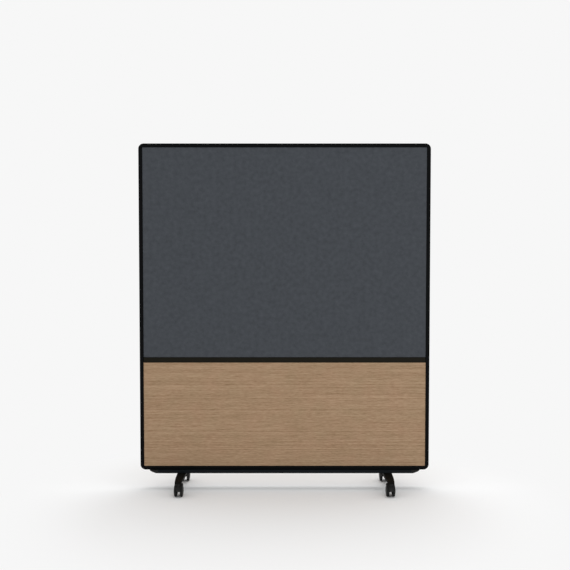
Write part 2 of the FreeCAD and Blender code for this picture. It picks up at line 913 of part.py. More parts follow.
bottom_length = frame_width - 2 * corner_reach
stile_length = frame_height - 2 * corner_reach
left_stile = face_of(*section_wires(stile_place(frame_bottom + corner_reach)))
left_stile = left_stile.extrude(Vector(0, 0, stile_length))
bottom_rail = face_of(*section_wires(rail_place(corner_reach - half_width)))
bottom_rail = bottom_rail.extrude(Vector(bottom_length, 0, 0))
lower_left_screws = corner_screws()
lower_screws = lower_left_screws + [mirror_x(screw) for screw in lower_left_screws]
all_corner_screws = lower_screws + [mirror_frame(screw) for screw in lower_screws]
lower_holes = corner_screws(thread_clearance)
lower_holes = lower_holes + [mirror_x(hole) for hole in lower_holes]
all_corner_holes = lower_holes + [mirror_frame(hole) for hole in lower_holes]
left_holes = [hole for hole in all_corner_holes if hole.BoundBox.XMax < 0]
left_stile = left_stile.cut(left_holes + bracket_screws(thread_clearance))
plain_rail = bottom_rail.cut(lower_holes)
bottom_rail = plain_rail.cut(frame_screws(thread_clearance))
save("frame_left_stile", left_stile)
save("frame_right_stile", mirror_x(left_stile))
save("frame_bottom_rail", bottom_rail)
save("frame_top_rail", mirror_frame(plain_rail))
corner = corner_piece()
save("corner_bottom_left", corner)
save("corner_bottom_right", mirror_x(corner))
save("corner_top_left", mirror_frame(corner))
save("corner_top_right", mirror_frame(mirror_x(corner)))
save("corner_screws", *all_corner_screws)

# Build the mid rail

bracket = mid_rail_bracket()
left_bracket_screws = bracket_screws()
save("mid_rail", mid_rail())
save("mid_rail_brackets", bracket, mirror_x(bracket))
save("mid_rail_screws", *left_bracket_screws, *[mirror_x(screw) for screw in left_bracket_screws])

# Build the panels

lower_core_bottom = opening_bottom - groove_depth
lower_core_top = mid_rail_bottom + mid_groove_depth - core_head_clearance
upper_core_bottom = mid_rail_top - mid_groove_depth
upper_core_top = opening_top + groove_depth - core_side_clearance
core_front = -core_thickness / 2
save("lower_core", board(core_half, lower_core_bottom, lower_core_top, (core_corner_radius, 0),
                         core_front, -core_front))
save("upper_core", board(core_half, upper_core_bottom, upper_core_top, (0, core_corner_radius),
                         core_front, -core_front))
pad = upper_skin(fabric_thickness)
fabric = upper_skin(0).cut(pad)
save("upper_front_pad", pad)
save("upper_rear_pad", mirror_y(pad))
save("upper_front_fabric", fabric)
save("upper_rear_fabric", mirror_y(fabric))
oak_board = lower_board()
save("lower_front_board", oak_board)
save("lower_rear_board", mirror_y(oak_board))

# Build the base

rail_holes = []
for near, far in rail_chambers():
    rail_holes.append(rounded_wire([
        (near, chamber_floor, 0),
        (far, chamber_floor, 0),
        (far, chamber_roof, 0),
        (near, chamber_roof, 0),
    ], lambda v, z: Vector(-rail_straight_half, v, z)))
base_rail = face_of(rail_outline(-rail_straight_half), *rail_holes)
base_rail = base_rail.extrude(Vector(2 * rail_straight_half, 0, 0))
base_rail = base_rail.cut(frame_screws(thread_clearance) + access_holes())
one_foot = foot()
for side in (-1, 1):
    shift = Vector(side * castor_x, 0, 0)
    base_rail = base_rail.cut([hole.translated(shift) for hole in foot_screws(thread_clearance)])
cap = end_cap()
save("base_rail", base_rail)
save("base_rail_screws", *frame_screws())
save("base_end_cap_right", cap)
save("base_end_cap_left", mirror_x(cap))
plates = []
screws = []
for name, side in (("left", -1), ("right", 1)):
    shift = Vector(side * castor_x, 0, 0)
    save("foot_" + name, one_foot.translated(shift))
    plates.extend(plate.translated(shift) for plate in nut_plates())
    for screw, (x, y) in zip(foot_screws(), foot_screw_places()):
        screws.append(screw.cut(socket(x, y)).translated(shift))
save("foot_nut_plates", *plates)
save("foot_screws", *screws)

# Build the castors

right_wheel = wheel()
right_tyre = tyre()
for end, end_side in (("front", -1), ("rear", 1)):
    braked = end == "rear"
    turn = half_turn if braked else 0
    for name, side in (("left", -1), ("right", 1)):
        prefix = "castor_" + end + "_" + name + "_"
        place = FreeCAD.Placement(
            Vector(side * castor_x, end_side * stem_y, 0), FreeCAD.Rotation(z_axis, turn))
        pieces = {
            "stem": stem(),
            "housing": housing(braked),
            "axle": axle(),
            "wheel_right": right_wheel,
            "wheel_left": mirror_x(right_wheel),
            "tyre_right": right_tyre,
            "tyre_left": mirror_x(right_tyre),
        }
        if braked:
            pieces["brake"] = brake_lever()
            pieces["wheel_left"], pieces["wheel_right"] = pieces["wheel_right"], pieces["wheel_left"]
            pieces["tyre_left"], pieces["tyre_right"] = pieces["tyre_right"], pieces["tyre_left"]
        for piece, solid in pieces.items():
            save(prefix + piece, solid.transformed(place.toMatrix(), True))
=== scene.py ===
# %% [markdown]
# A room divider on wheels: a slim black frame holds a charcoal fabric panel above and an oak board
# below, and stands on two cast feet with twin-wheel castors. The metal and moulded pieces come ready
# made, with their real sizes and joints. This lesson gives every surface its finish and makes what a
# mesh tool does better: the pads, the fabric over them, and the wheels with their rounded treads.

# %% Load the pieces
import bmesh
import bpy
import json
import math
from mathutils import Matrix, Vector


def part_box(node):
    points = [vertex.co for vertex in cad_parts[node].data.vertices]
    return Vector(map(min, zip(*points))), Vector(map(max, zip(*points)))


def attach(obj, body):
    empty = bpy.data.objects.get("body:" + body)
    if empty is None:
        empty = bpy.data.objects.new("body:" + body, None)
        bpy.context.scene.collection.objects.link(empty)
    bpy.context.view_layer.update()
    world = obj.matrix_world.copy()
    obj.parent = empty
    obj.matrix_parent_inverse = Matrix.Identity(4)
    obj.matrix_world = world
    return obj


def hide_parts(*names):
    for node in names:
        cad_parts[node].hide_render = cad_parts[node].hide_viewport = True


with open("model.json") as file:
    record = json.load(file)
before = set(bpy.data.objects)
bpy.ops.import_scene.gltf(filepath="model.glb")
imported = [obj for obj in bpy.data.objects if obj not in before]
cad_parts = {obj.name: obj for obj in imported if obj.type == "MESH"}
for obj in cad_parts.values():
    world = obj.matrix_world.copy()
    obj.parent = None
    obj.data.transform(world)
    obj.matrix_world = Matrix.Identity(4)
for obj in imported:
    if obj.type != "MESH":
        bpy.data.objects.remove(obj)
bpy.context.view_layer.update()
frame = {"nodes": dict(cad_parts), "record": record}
nodes = frame["nodes"]

# %% [markdown]
# The camera stands where the picture was taken: a little under a metre up, 3.28 m in front of the frame,
# and tilted down by about two degrees. It could be placed by eye, but the taper of the uprights and the
# places of the castors on the floor fix it, so it is given by numbers. The divider stands a fraction of
# a pixel to the left of the picture's middle, which a shift of the lens takes up.

# %% Camera
camera_distance = 3.2808
camera_height = 0.9852
camera_tilt = 0.0405
lens_mm = 50
sensor_mm = 36
picture_width_px = 570
divider_centre_px = 284.6

camera_data = bpy.data.cameras.new("camera")
camera_data.lens = lens_mm
camera_data.sensor_width = sensor_mm
camera_data.shift_x = (picture_width_px / 2 - divider_centre_px) / picture_width_px
camera = bpy.data.objects.new("camera", camera_data)
camera.location = (0, -camera_distance, camera_height)
camera.rotation_euler = (math.pi / 2 - camera_tilt, 0, 0)
bpy.context.scene.collection.objects.link(camera)
bpy.context.scene.camera = camera
bpy.context.scene.view_settings.view_transform = "Standard"
print("camera:", camera_distance, "m away and", camera_height, "m up")

# %% [markdown]
# A finish is a small tree of shader nodes. Drawn by hand it is a web of boxes, and written out node by
# node it fills pages, so two helpers keep it readable. The first, a Value, wraps one output of a node,
# so that a sum or product of values written in Python adds its own Math nodes.

# %% Values
class Value:
    """One output of a node."""

    def __init__(self, finish, socket):
        self.finish = finish
        self.socket = socket

    def __add__(self, other):
        return self.finish.maths("ADD", self, other)

    def __radd__(self, other):
        return self.finish.maths("ADD", other, self)

    def __sub__(self, other):
        return self.finish.maths("SUBTRACT", self, other)

    def __rsub__(self, other):
        return self.finish.maths("SUBTRACT", other, self)

    def __mul__(self, other):
        return self.finish.maths("MULTIPLY", self, other)

    def __rmul__(self, other):
        return self.finish.maths("MULTIPLY", other, self)


# %% [markdown]
# The second, a Finish, holds the tree of a material or of the world. Its node method makes any node:
# first its settings, then its sockets. The others are the few things that every finish here needs. Noise
# does most of the work, because no real surface is one flat colour: it is read on the piece's own
# coordinates, so that it stays on the piece when the piece moves.

# %% Finishes
class Finish:
    """The shader nodes of a material or of the world."""

    def __init__(self, owner):
        owner.use_nodes = True
        self.owner = owner
        self.nodes = owner.node_tree.nodes
        self.links = owner.node_tree.links
        self.nodes.clear()

    def node(self, kind, settings, sockets, output=0):
        """A new node: its settings come first, then the values or links of its sockets."""
        made = self.nodes.new(kind)
        for name, setting in settings.items():
            setattr(made, name, setting)
        for name, value in sockets.items():
            if isinstance(value, Value):
                self.links.new(value.socket, made.inputs[name])
            else:
                made.inputs[name].default_value = value
        return Value(self, made.outputs[output]) if made.outputs else None

    def maths(self, operation, *terms):
        """One Math node on one or two terms."""
        return self.node("ShaderNodeMath", {"operation": operation}, dict(enumerate(terms)))

    def point(self, kind="Object"):
        """Where on the piece a ray has met it, in metres: in its own coordinates, or in its UV map."""
        return self.node("ShaderNodeTexCoord", {}, {}, kind)

    def coordinate(self, vector, axis):
        """One coordinate of a vector."""
        return self.node("ShaderNodeSeparateXYZ", {}, {"Vector": vector}, axis)

    def mottle(self, per_metre, on=None, detail=2.0, roughness=0.5, distortion=0.0):
        """Smooth noise from about -0.5 to 0.5, with so many blobs to the metre along X, Y and Z."""
        vector = on or self.point()
        place = self.node("ShaderNodeVectorMath", {"operation": "MULTIPLY"}, {0: vector, 1: per_metre})
        sockets = {
            "Vector": place,
            "Scale": 1.0,
            "Detail": detail,
            "Roughness": roughness,
            "Distortion": distortion,
        }
        return self.node("ShaderNodeTexNoise", {}, sockets) - 0.5

    def between(self, value, low, high):
        """Zero below low, one above high, and a smooth step between them."""
        settings = {"interpolation_type": "SMOOTHSTEP"}
        sockets = {"Value": value, "From Min": low, "From Max": high}
        return self.node("ShaderNodeMapRange", settings, sockets)

    def blend(self, factor, first, second):
        """One colour mixed into another."""
        return self.node("ShaderNodeMix", {"data_type": "RGBA"}, {0: factor, 6: first, 7: second}, 2)

    def shade(self, colour, factor):
        """A colour made lighter or darker by a factor about one."""
        return self.node("ShaderNodeVectorMath", {"operation": "SCALE"}, {0: colour[:3], "Scale": factor})

    def bump(self, height, depth):
        """Surface relief from a height, where a height of one stands up by depth, in metres."""
        return self.node("ShaderNodeBump", {}, {"Height": height, "Distance": depth, "Strength": 1.0})

    def surface(self, sockets):
        """The material, once its shader is made and joined to its output."""
        shader = self.node("ShaderNodeBsdfPrincipled", {}, sockets)
        self.node("ShaderNodeOutputMaterial", {}, {"Surface": shader})
        return self.owner


# %% [markdown]
# Colours are read off a picture on a screen, where they run from 0 to 255 on a curve, but a shader works
# in linear light. The curve could be looked up for each colour, but a function keeps the picture's own
# numbers in the script.

# %% Colours
def from_screen(red, green, blue):
    """A colour as it is seen on a screen, turned into the shader's linear light."""
    linear = []
    for channel in (red, green, blue):
        share = channel / 255
        linear.append(share / 12.92 if share <= 0.04045 else ((share + 0.055) / 1.055) ** 2.4)
    return (*linear, 1.0)


def new_finish(name):
    """An empty finish for a new material."""
    return Finish(bpy.data.materials.new(name))


def tell(*materials):
    """Print which materials were made."""
    for material in materials:
        print(material.name, "made from", len(material.node_tree.nodes), "nodes")


print("half grey on a screen is", round(from_screen(128, 128, 128)[0], 3), "in linear light")

# %% [markdown]
# The frame, the mid rail and the base rail are aluminium with a black powder coat. Baked powder melts
# into a skin with a fine pebbled surface, satin rather than glossy. A plain black would look like
# plastic film, so low noise about a millimetre wide gives the pebbles, and a slow change in roughness
# breaks up the reflection, as handling does. The mid rail and the base rail carry the same coat as the
# frame, painted a shade lighter as painted light, for the light that falls on their faces. The cast
# feet carry a coat with coarser pebbles.

# %% Powder coat
coat_shine = 0.03


def powder_coat(name, colour, pebble=0.0011, pebble_depth=0.00006, roughness=0.5):
    """A coat with pebbles of a given width and depth, in metres."""
    finish = new_finish(name)
    pebbles = finish.mottle((1 / pebble,) * 3, detail=1.0)
    handling = finish.mottle((9, 9, 9), detail=3.0)
    return finish.surface({
        "Base Color": finish.shade(colour, 1 + 0.3 * pebbles + 0.25 * handling),
        "Roughness": roughness + 0.12 * handling + 0.05 * pebbles,
        "Specular IOR Level": coat_shine,
        "Normal": finish.bump(pebbles, pebble_depth),
    })


frame_black = powder_coat("frame_black", from_screen(11.5, 12.5, 13.5))
# painted light: the frame's own coat, painted a shade lighter on the mid rail and the base rail
mid_rail_black = powder_coat("mid_rail_black", from_screen(27.5, 25.5, 20))
base_rail_black = powder_coat("base_rail_black", from_screen(21.5, 25, 27.5))
cast_black = powder_coat(
    "cast_black", from_screen(18, 17, 15), pebble=0.0018, pebble_depth=0.00014, roughness=0.55)
tell(frame_black, mid_rail_black, base_rail_black, cast_black)

# %% [markdown]
# The upper panels wear a heather fabric: a plain weave of thick yarns, each spun from dark and lighter
# wool, so that the cloth looks charcoal from afar and speckled near to. A picture of cloth would blur
# near to, and modelled yarns would be millions of faces, so the weave is drawn by sums. It follows the
# cloth's own flat coordinates, kept in a UV map in metres, because it has to turn over the edges with
# the cloth. Sine waves along and across make the yarns, and the product of the two says which yarn is on
# top. The colour is painted darker in the gaps between the yarns, a painted shade, and the last factor
# gives back what that takes off the whole cloth.

# %% Fabric
yarn_pitch = 0.0014
yarn_wander = 0.0002
yarn_relief = 0.0002
# gives back, over the whole cloth, what the painted shade in the yarn gaps takes off
gap_shade_gain = 1.06


def heather_fabric(name, colour):
    """A plain weave of mottled yarns on the flat coordinates."""
    finish = new_finish(name)
    flat = finish.point("UV")
    wander = yarn_wander * finish.mottle((160, 160, 160), on=flat)
    turn = math.pi / yarn_pitch
    warp = finish.maths("SINE", (finish.coordinate(flat, "X") + wander) * turn)
    weft = finish.maths("SINE", (finish.coordinate(flat, "Y") + wander) * turn)
    crossing = warp * weft
    yarns = finish.maths("ABSOLUTE", crossing)
    lengthwise = finish.mottle((1 / yarn_pitch, 90, 1), on=flat, detail=1.0)
    widthwise = finish.mottle((90, 1 / yarn_pitch, 1), on=flat, detail=1.0)
    on_top = finish.between(crossing, -0.2, 0.2)
    fibre = on_top * lengthwise + (1 - on_top) * widthwise
    heather = finish.mottle((57, 57, 57), on=flat)
    cloud = finish.mottle((14, 14, 14), on=flat)
    # the last term is painted shade: darker in the gaps between the yarns
    tone = 1 + 0.42 * heather + 0.12 * cloud + 0.35 * fibre - 0.22 * (1 - yarns)
    return finish.surface({
        "Base Color": finish.shade(colour, tone * gap_shade_gain),
        "Roughness": 0.92,
        "Specular IOR Level": 0.1,
        "Sheen Weight": 0.04,
        "Sheen Roughness": 0.5,
        "Normal": finish.bump(yarns + 0.5 * fibre, yarn_relief),
    })


charcoal_fabric = heather_fabric("charcoal_fabric", from_screen(70, 73.5, 78.5))
tell(charcoal_fabric)

# %% [markdown]
# The pad under the fabric is pressed felt, and the boards inside are fibreboard. Both are loose fibres
# under pressure, and could be drawn fibre by fibre, but little of them is ever seen, so a mottled colour
# with some relief is enough.

# %% Felt and fibreboard
def matted(name, colour, fibres_per_metre, relief):
    """Fibres pressed to a mat."""
    finish = new_finish(name)
    fibres = finish.mottle((fibres_per_metre,) * 3, detail=5.0, roughness=0.7, distortion=1.5)
    return finish.surface({
        "Base Color": finish.shade(colour, 1 + 0.5 * fibres),
        "Roughness": 0.95,
        "Specular IOR Level": 0.15,
        "Normal": finish.bump(fibres, relief),
    })


acoustic_felt = matted("acoustic_felt", (0.3, 0.3, 0.3, 1), fibres_per_metre=500, relief=0.0004)
core_board = matted("core_board", (0.35, 0.25, 0.16, 1), fibres_per_metre=900, relief=0.0001)
tell(acoustic_felt, core_board)

# %% [markdown]
# The lower boards are faced with light oak laid level. Its grain is streaks of every length: bands that
# run from end to end where the log grew faster, then lines, dashes and flecks, each shorter than the
# last, fine threads, and open pores, which are short and dark. One noise would look like brushed metal,
# so each kind is noise stretched along the grain by its own amount, and their sum says how light the
# wood is, between a dark and a light colour. A slow wander bends them all together, so that they keep to
# one grain, and a slow cast makes the wood yellower here and rosier there.

# %% Oak
grain_wander = 0.002
pore_depth = 0.00006


def oak(name, dark, light):
    """Oak between a dark and a light colour, each given as a pair: yellower and rosier."""
    finish = new_finish(name)
    bend = finish.mottle((2.6, 1, 9), detail=1.0)
    lift = finish.node("ShaderNodeCombineXYZ", {}, {"Z": grain_wander * bend})
    grain = finish.node("ShaderNodeVectorMath", {"operation": "ADD"}, {0: finish.point(), 1: lift})

    def streaks(length, height, detail=2.0):
        return finish.mottle((1 / length, 1 / length, 1 / height), on=grain, detail=detail)

    bands = streaks(length=2.0, height=0.0065)
    lines = streaks(length=0.16, height=0.006)
    dashes = streaks(length=0.06, height=0.0036)
    flecks = streaks(length=0.019, height=0.003)
    threads = streaks(length=0.05, height=0.0012)
    pores = finish.between(streaks(length=0.011, height=0.0006, detail=1.0), 0.17, 0.26)
    tone = 0.5 + 0.62 * bands + 0.3 * lines + 0.55 * dashes + 0.68 * flecks + 0.2 * threads - 0.2 * pores
    cast = 0.5 + 1.6 * finish.mottle((12, 1, 14), detail=1.0)
    return finish.surface({
        "Base Color": finish.blend(tone, finish.blend(cast, *dark), finish.blend(cast, *light)),
        "Roughness": 0.55 + 0.2 * pores - 0.15 * lines,
        "Specular IOR Level": 0.2,
        "Normal": finish.bump(0.4 * threads - pores, pore_depth),
    })


dark_oak = (from_screen(117, 91.5, 62), from_screen(122, 91.5, 63.5))
pale_oak = (from_screen(177, 151.5, 122), from_screen(182, 151.5, 123.5))
light_oak = oak("light_oak", dark_oak, pale_oak)
tell(light_oak)

# %% [markdown]
# Castor hoods and wheels are moulded in black nylon, which comes out of the mould with a fine
# spark-eroded grain and picks up grey scuffs low down, where shoes and vacuum cleaners touch it. The
# soft treads are duller and carry a little dust from the floor. Scuffs could be painted on piece by
# piece, but sixteen wheels and treads would all look alike, so the noise that places them is read where
# each piece stands.

# %% Mouldings and treads
scuffed_grey = from_screen(92, 89, 84)
mould_grain_depth = 0.00004


def moulded(name, colour, roughness, dust):
    """A fine mould grain, with patches of grey scuffs as strong as dust says, from 0 to 1."""
    finish = new_finish(name)
    grain = finish.mottle((1400, 1400, 1400), detail=1.0)
    scuffs = finish.mottle((170, 170, 60), detail=4.0, roughness=0.65)
    patches = finish.between(scuffs, 0.08, 0.3)
    return finish.surface({
        "Base Color": finish.blend(patches * dust, finish.shade(colour, 1 + 0.4 * grain), scuffed_grey),
        "Roughness": roughness + 0.15 * patches + 0.08 * grain,
        "Specular IOR Level": 0.16,
        "Normal": finish.bump(grain, mould_grain_depth),
    })


black_nylon = moulded("black_nylon", from_screen(22, 22, 21), roughness=0.45, dust=0.1)
soft_tread = moulded("soft_tread", from_screen(19, 19, 19), roughness=0.7, dust=0.2)
tell(black_nylon, soft_tread)

# %% [markdown]
# Screws, pins and axles are zinc-plated steel: a pale metal with drawing marks that run a short way, and
# a faint bloom where the plating dulls. They are small and mostly hidden, so one metal does for all of
# them.

# %% Plated steel
def plated(name, colour, mark_depth):
    """Drawn and plated metal, with marks of a given depth in metres."""
    finish = new_finish(name)
    marks = finish.mottle((2500, 2500, 400))
    bloom = finish.mottle((120, 120, 120), detail=3.0)
    return finish.surface({
        "Base Color": finish.shade(colour, 1 + 0.25 * bloom),
        "Metallic": 1.0,
        "Roughness": 0.35 + 0.2 * marks + 0.2 * bloom,
        "Normal": finish.bump(marks, mark_depth),
    })


zinc_steel = plated("zinc_steel", (0.55, 0.55, 0.56, 1), mark_depth=0.00002)
tell(zinc_steel)

# %% [markdown]
# Every ready-made piece takes the finish that the record names for it. It could be chosen piece by
# piece, but the record already says it once for all. The material goes into the slot of the piece's
# mesh, and the mesh itself is left alone.

# %% Dress the ready-made pieces
finishes = {
    "frame_black": frame_black,
    "cast_black": cast_black,
    "charcoal_fabric": charcoal_fabric,
    "acoustic_felt": acoustic_felt,
    "light_oak": light_oak,
    "core_board": core_board,
    "black_nylon": black_nylon,
    "soft_tread": soft_tread,
    "zinc_steel": zinc_steel,
}
slot_of = {part["node"]: part["material_slot"] for part in frame["record"]["subparts"]}
bodies = frame["record"]["behaviour"]["bodies"]
body_of = {node: body for body, members in bodies.items() for node in members}


def dress(piece, slot, finish=None):
    """Give a piece its own finish or the one of its slot."""
    piece.data.materials.clear()
    piece.data.materials.append(finish or finishes[slot])


for name, node in nodes.items():
    dress(node, slot_of[name])
print("finishes:", len(finishes), "for", len(nodes), "pieces")

# %% [markdown]
# The ready-made pieces come as loose triangles with hard corners. On the real ones every cut or moulded
# edge is broken a little, and that thin edge is what catches the light. So each piece that shows is
# copied, its triangles are joined and its flat faces made whole, and a live Bevel modifier rounds the
# corners that remain. The copy is a better way than a new model here, because it keeps the real sizes.

# %% Helpers for new pieces
joining_distance = 0.000002
flat_angle = math.radians(0.6)
corner_angle = math.radians(28)
edge_steps = 2


def as_object(mesh, name, smooth=True):
    """The finished mesh as an object at the origin."""
    data = bpy.data.meshes.new(name)
    for face in mesh.faces:
        face.smooth = smooth
    mesh.to_mesh(data)
    mesh.free()
    piece = bpy.data.objects.new(name, data)
    bpy.context.scene.collection.objects.link(piece)
    return piece


def stand_in(piece, name, finish=None):
    """Let a new piece take the slot, the body and the place of a ready-made one."""
    dress(piece, slot_of[name], finish)
    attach(piece, body_of[name])
    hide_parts(name)


def eased(name, ending, width, finish=None):
    """A joined copy of a ready-made piece, with its corners rounded by width, standing in for it."""
    mesh = bmesh.new()
    mesh.from_mesh(nodes[name].data)
    bmesh.ops.remove_doubles(mesh, verts=mesh.verts, dist=joining_distance)
    bmesh.ops.dissolve_limit(mesh, verts=mesh.verts, edges=mesh.edges, angle_limit=flat_angle)
    piece = as_object(mesh, name + ending)
    rounding = piece.modifiers.new("rounding", "BEVEL")
    rounding.width = width
    rounding.segments = edge_steps
    rounding.limit_method = "ANGLE"
    rounding.angle_limit = corner_angle
    rounding.use_clamp_overlap = True
    rounding.harden_normals = True
    stand_in(piece, name, finish)


# %% [markdown]
# How far an edge is broken depends on how the piece was made: a sawn extrusion or a veneered board the
# least, a moulding more, and a casting the most. The endings of the new names say the same.

# %% Eased copies of the ready-made pieces
sawn_edge = 0.0003
casting_edge = 0.0006
moulding_edge = 0.0005
# the rails' lighter coats are the frame's coat with painted light, not coats of another colour
painted_lighter_coats = {"mid_rail": mid_rail_black, "base_rail": base_rail_black}
frame_sides = ("frame_top_rail", "frame_bottom_rail", "frame_left_stile", "frame_right_stile")
corners = ("corner_top_left", "corner_top_right", "corner_bottom_left", "corner_bottom_right")
coated = frame_sides + ("mid_rail", "base_rail") + corners
moulded_kinds = ("_housing", "_brake")
mouldings = [name for name in nodes if name.startswith("base_end_cap") or name.endswith(moulded_kinds)]

for names, ending, width in (
        (coated, "_coated", sawn_edge),
        (("foot_left", "foot_right"), "_cast", casting_edge),
        (mouldings, "_moulded", moulding_edge),
        (("lower_front_board", "lower_rear_board"), "_veneered", sawn_edge)):
    for name in names:
        eased(name, ending, width, painted_lighter_coats.get(name))
    print(len(names), "pieces eased by", round(width * 1000, 1), "mm, named", ending)

# %% [markdown]
# Each castor runs on two wheels. A wheel is a nylon disc, dished on its outer face, with a soft tread
# moulded round it. It could be put together from cylinders, but then its dish and its rounded rim would
# need cutting. As it is round, it is spun instead: half a section is drawn once as a flat outline, its
# corners are bevelled, and the outline is turned about the axle.

# %% Spinning
spin_steps = 72
rounding_steps = 4


def spun(outline):
    """Spin corners (across, radius, rounding) about the X axis into a closed form."""
    mesh = bmesh.new()
    corners = [mesh.verts.new((across, 0, radius)) for across, radius, rounding in outline]
    mesh.faces.new(corners)
    for corner, (across, radius, rounding) in zip(corners, outline):
        if rounding > 0:
            bmesh.ops.bevel(mesh, geom=[corner], offset=rounding, segments=rounding_steps, profile=0.5,
                            affect="VERTICES", material=-1)
    on_axle = [edge for edge in mesh.edges if max(point.co.z for point in edge.verts) < joining_distance]
    bmesh.ops.delete(mesh, geom=mesh.faces[:], context="FACES_ONLY")
    if on_axle:
        bmesh.ops.delete(mesh, geom=on_axle, context="EDGES")
    bmesh.ops.spin(mesh, geom=mesh.verts[:] + mesh.edges[:], cent=(0, 0, 0), axis=(1, 0, 0),
                   angle=math.tau, steps=spin_steps, use_merge=True)
    bmesh.ops.remove_doubles(mesh, verts=mesh.verts, dist=joining_distance)
    bmesh.ops.recalc_face_normals(mesh, faces=mesh.faces)
    return mesh


# %% [markdown]
# The outlines are those of the right wheel of a pair and its tread: distances across are from the middle
# of the castor, and the third number rounds the corner. The wheel has a blind hole for the axle, a hub,
# a thin web, a rim that carries the tread, and a shallow recess in the middle of its outer face. The
# left wheel is the right one mirrored.

# %% Spun wheels
wheel_inner = 0.007
wheel_outer = 0.019
wheel_radius = 0.025
tread_outer = 0.0166
tread_depth = 0.0035
tread_lap = 0.0002
seat_radius = wheel_radius - tread_depth
hole_radius = 0.00305
hole_end = 0.01405
hub_radius = 0.006
web_inner = 0.0172
web_radius = 0.013
rim_inner = 0.0081
rim_shoulder = 0.0148
rim_wall = 0.0022
recess_face = 0.0182
recess_radius = 0.004
recess_floor_radius = 0.0032

wheel_outline = (
    (hole_end, 0, 0),
    (hole_end, hole_radius, 0),
    (wheel_inner, hole_radius, 0.0002),
    (wheel_inner, hub_radius, 0.0003),
    (web_inner, hub_radius, 0.0006),
    (web_inner, web_radius, 0.0006),
    (rim_shoulder, seat_radius - rim_wall, 0.0006),
    (rim_inner, seat_radius - rim_wall, 0.0004),
    (rim_inner, seat_radius, 0.0003),
    (tread_outer, seat_radius, 0.0005),
    (wheel_outer, web_radius, 0.003),
    (wheel_outer, recess_radius, 0.0005),
    (recess_face, recess_floor_radius, 0.0004),
    (recess_face, 0, 0),
)
tread_outline = (
    (wheel_inner, seat_radius, 0.0002),
    (wheel_inner, wheel_radius, 0.0011),
    (tread_outer, wheel_radius, 0.0029),
    (tread_outer, seat_radius + tread_lap, 0.0004),
)
round_pieces = [name for name in sorted(nodes) if "_wheel_" in name or "_tyre_" in name]
for name in round_pieces:
    castor, _, hand = name.rsplit("_", 2)
    mesh = spun(wheel_outline if "_wheel_" in name else tread_outline)
    if hand == "left":
        bmesh.ops.scale(mesh, vec=(-1, 1, 1), verts=mesh.verts)
        bmesh.ops.recalc_face_normals(mesh, faces=mesh.faces)
    low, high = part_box(castor + "_axle")
    bmesh.ops.translate(mesh, vec=(low + high) / 2, verts=mesh.verts)
    piece = as_object(mesh, name + "_spun")
    piece.data.set_sharp_from_angle(angle=corner_angle)
    stand_in(piece, name)
print("spun wheels and treads:", len(round_pieces))

# %% [markdown]
# A soft piece is first a flat cut and then a form. The cover starts as a flat grid over the panel. Its
# rim is extruded back to the board, and the front rim and the four corners are bevelled round. A rounded
# box would give the same outline, but not the even cells that cloth needs to bend in. The pad is the
# same form, one cloth's thickness further in.

# %% Panel forms
cell = 0.012
edge_round = 0.0022
edge_segments = 5


def panel_form(low, high, front_y, back_y, cells):
    """An open tray over the panel: face at front_y, rim turned back to back_y."""
    width = high.x - low.x
    height = high.z - low.z
    centre = Vector(((low.x + high.x) / 2, front_y, (low.z + high.z) / 2))
    place = Matrix.Translation(centre) @ Matrix.Diagonal((width, 1, height, 1))
    mesh = bmesh.new()
    bmesh.ops.create_grid(mesh, x_segments=cells[0], y_segments=cells[1], size=0.5,
                          matrix=place @ Matrix.Rotation(math.pi / 2, 4, "X"))
    corners = [point for point in mesh.verts if len(point.link_edges) == 2]
    rim = [edge for edge in mesh.edges if edge.is_boundary]
    turned = bmesh.ops.extrude_edge_only(mesh, edges=rim)
    new_points = [part for part in turned["geom"] if isinstance(part, bmesh.types.BMVert)]
    bmesh.ops.translate(mesh, verts=new_points, vec=(0, back_y - front_y, 0))
    turned_edges = [edge for point in corners for edge in point.link_edges
                    if edge.other_vert(point) in new_points]
    bmesh.ops.bevel(mesh, geom=rim + turned_edges, offset=edge_round, segments=edge_segments, profile=0.5,
                    affect="EDGES", material=-1)
    bmesh.ops.recalc_face_normals(mesh, faces=mesh.faces)
    return mesh


cover_low, cover_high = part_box("upper_front_fabric")
pad_low, pad_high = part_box("upper_front_pad")
front_y = cover_low.y
back_y = cover_high.y
cells = (round((cover_high.x - cover_low.x) / cell), round((cover_high.z - cover_low.z) / cell))
cover_mesh = panel_form(cover_low, cover_high, front_y, back_y, cells)
pad_mesh = panel_form(pad_low, pad_high, pad_low.y, back_y, cells)
print("points in a cover and in its pad:", len(cover_mesh.verts), len(pad_mesh.verts))

# %% [markdown]
# The weave needs the cloth's flat coordinates. Unwrapping would find some, but not to scale, and the cut
# is known: a point of the turned rim lay beyond the edge of the face by its depth. So the map is worked
# out from the form, in metres.

# %% The flat cut
def flatten_uv(mesh, centre, front_y):
    """A UV map in metres of the flat cut: the rim lies beyond the face's edge by its depth."""
    layer = mesh.loops.layers.uv.new("flat_cut")
    for face in mesh.faces:
        for loop in face.loops:
            point = loop.vert.co
            depth = abs(point.y - front_y)
            x = point.x - centre.x
            z = point.z - centre.z
            if abs(face.normal.x) > abs(face.normal.z):
                x += math.copysign(depth, x)
            else:
                z += math.copysign(depth, z)
            loop[layer].uv = (x, z)


flatten_uv(cover_mesh, (cover_low + cover_high) / 2, front_y)

# %% [markdown]
# Cloth that is pulled over a pad swells a little towards the middle of the panel. The swell could be
# shaped by a formula, but a cloth simulation finds how much it is: the turned rim is pinned, the cloth
# is cut one per cent short so that it pulls, and a light pressure stands for the pad behind it. Gravity
# is left out, because cloth this tight doesn't sag. The result is one move for each point. The pad has
# the same points in the same order, so it swells alike and stays underneath.

# %% Tight cloth
cloth_steps = 20
cloth_pull = 0.01
cloth_stiffness = 0.5
pad_pressure = 0.45
swell_cap = 0.0025
face_tolerance = 0.00005


